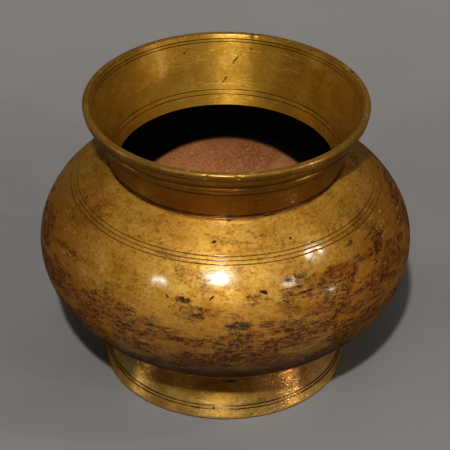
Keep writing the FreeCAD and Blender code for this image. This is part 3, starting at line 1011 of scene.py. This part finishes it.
body_rings = [(shoulder_height(r), 0.30) for r in SHOULDER_GROOVE_R]
outer_rings = [(z, 0.34) for z in RIM_GROOVE_Z] + [(172.0, 0.8), (153.2, 0.9)]
bore_rings = [(z, 0.32) for z in BORE_GROOVE_Z]
foot_rings = [(z, 0.38) for z in FOOT_GROOVE_Z] + [(0.3, 0.6)]
body_metal = aged_brass(
    "aged_body_brass", BODY_MARKS, BODY_SCRATCHES, body_radius, body_rings,
    clean=0.6, tarnish=1.0, warm=0.45, grain=0.35, rough=0.53, film=1.0, coat=0.75, bare=0.42)
belly_metal = body_metal.copy()
belly_metal.name = "tarnished_belly_brass"
collar_metal = aged_brass(
    "handled_collar_brass", COLLAR_MARKS, COLLAR_SCRATCHES, collar_radius, outer_rings,
    clean=1.0, tarnish=0.25, warm=0.35, grain=0.6, rough=0.38, collar_shade=0.75)
bore_metal = aged_brass(
    "satin_bore_brass", BORE_MARKS, BORE_SCRATCHES, bore_radius, bore_rings,
    clean=1.15, tarnish=0.15, warm=0.05, grain=0.70, rough=0.46, coat=0.05, bare=0.66, painted_dimming=0.40)
foot_metal = aged_brass(
    "warm_foot_brass", FOOT_MARKS, FOOT_SCRATCHES, foot_radius, foot_rings,
    clean=1.0, tarnish=0.35, warm=0.35, grain=0.80, rough=0.30, coat=0.6, flank_light_share=0.60, bare=0.75)
inside_metal = cast_inside("rough_cast_inside")
filler = braze_metal("copper_filler")

for piece, skins, node, slot in (
    (collar, (collar_metal, bore_metal), "collar", "collar_brass"),
    (shoulder, (body_metal, inside_metal), "shoulder_shell", "body_brass"),
    (belly, (belly_metal, inside_metal), "belly_shell", "tarnished_brass"),
    (foot, (foot_metal, inside_metal), "foot_ring", "foot_brass"),
    (neck_bead, (filler,), "neck_braze_ring", "braze"),
    (foot_fillet, (foot_metal,), "foot_braze_ring", "braze"),
    (seam_bead, (inside_metal,), "belly_braze_ring", "braze"),
):
    for skin in skins:
        piece.data.materials.append(skin)
    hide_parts(node)


# ---------------------------------------------------------------- floor, light and camera

FLOOR_HALF_WIDTH = 3.0
FLOOR_FRONT_Y = -2.0
FLOOR_BEND_Y = 1.6
FLOOR_BEND_R = 0.9
FLOOR_BEND_STEPS = 24
FLOOR_TOP_Z = 3.0
POT_MIDDLE = (0.0, 0.0, 0.10)


def make_floor():
    """Pale sheet that runs flat under the pot and curves up far behind it."""
    width = FLOOR_HALF_WIDTH
    rows = [(FLOOR_FRONT_Y, 0.0), (FLOOR_BEND_Y, 0.0)]
    for step in range(1, FLOOR_BEND_STEPS + 1):
        turn = step / FLOOR_BEND_STEPS * math.pi / 2
        rows.append((FLOOR_BEND_Y + FLOOR_BEND_R * math.sin(turn), FLOOR_BEND_R * (1 - math.cos(turn))))
    rows.append((FLOOR_BEND_Y + FLOOR_BEND_R, FLOOR_TOP_Z))
    places = []
    for y, z in rows:
        places += [(-width, y, z), (width, y, z)]
    faces = [(2 * i, 2 * i + 1, 2 * i + 3, 2 * i + 2) for i in range(len(rows) - 1)]
    mesh = bpy.data.meshes.new("studio_floor")
    mesh.from_pydata(places, [], faces)
    mesh.polygons.foreach_set("use_smooth", [True] * len(faces))
    floor = bpy.data.objects.new("studio_floor", mesh)
    bpy.context.collection.objects.link(floor)
    s = Shader("pale_paper")
    tone = s.blend(s.step(s.noise(6.0, 3.0), 0.3, 0.7), (0.29, 0.29, 0.29, 1.0), (0.32, 0.32, 0.32, 1.0))
    tone = s.blend(s.step(s.axes()[1], 0.0, 0.7), tone, (0.50, 0.49, 0.48, 1.0))
    mesh.materials.append(s.finish(tone, 0.8, 0.0, s.times(s.noise(900.0, 3.0), 0.1), 0.3))


def lamp(name, azimuth, elevation, distance, size, watts, tint=(1.0, 1.0, 1.0)):
    """Round or broad lamp that faces the middle of the pot."""
    data = bpy.data.lights.new(name, "AREA")
    data.shape = "DISK"
    data.size = size
    data.energy = watts
    data.color = tint
    turn = math.radians(azimuth)
    rise = math.radians(elevation)
    way = Vector((math.cos(rise) * math.cos(turn), math.cos(rise) * math.sin(turn), math.sin(rise)))
    light = bpy.data.objects.new(name, data)
    light.location = Vector(POT_MIDDLE) + way * distance
    light.rotation_euler = (-way).to_track_quat("-Z", "Y").to_euler()
    bpy.context.collection.objects.link(light)
    return light


make_floor()
lamp("key", -94.8, 48.8, 2.6, 0.10, 33.0, (1.0, 0.985, 0.965))
lamp("key_glow", -94.8, 51.0, 2.4, 0.6, 3.2, (1.0, 0.98, 0.96))
lamp("left_lamp", -133.7, 33.8, 1.7, 0.04, 0.9)
lamp("right_lamp", -47.3, 34.6, 1.7, 0.04, 1.1)
lamp("small_lamp", -16.3, 44.5, 1.7, 0.04, 1.5)
lamp("left_soft", 190.0, 6.0, 1.6, 0.15, 0.9)
lamp("top_soft", 90.0, 66.0, 1.8, 1.5, 1.2)
lamp("low_right", -27.0, 11.0, 1.6, 0.06, 1.8, (1.0, 0.88, 0.80))

world = bpy.data.worlds.new("studio")
world.use_nodes = True
background = world.node_tree.nodes["Background"]
background.inputs["Color"].default_value = (0.34, 0.275, 0.22, 1.0)
background.inputs["Strength"].default_value = 0.18
bpy.context.scene.world = world
bpy.context.scene.view_settings.view_transform = "Standard"
bpy.context.scene.view_settings.look = "High Contrast"

CAMERA_PLACE = (-0.00034, -1.0196, 0.7811)
CAMERA_TILT = math.radians(56.15)
CAMERA_ROLL = math.radians(0.504)
CAMERA_LENS = 150.64

view = bpy.data.cameras.new("view")
view.sensor_width = 36.0
view.lens = CAMERA_LENS
view.clip_end = 50.0
camera = bpy.data.objects.new("view", view)
aim = Matrix.Rotation(CAMERA_TILT, 4, "X") @ Matrix.Rotation(CAMERA_ROLL, 4, "Z")
camera.matrix_world = Matrix.Translation(CAMERA_PLACE) @ aim
bpy.context.collection.objects.link(camera)
bpy.context.scene.camera = camera
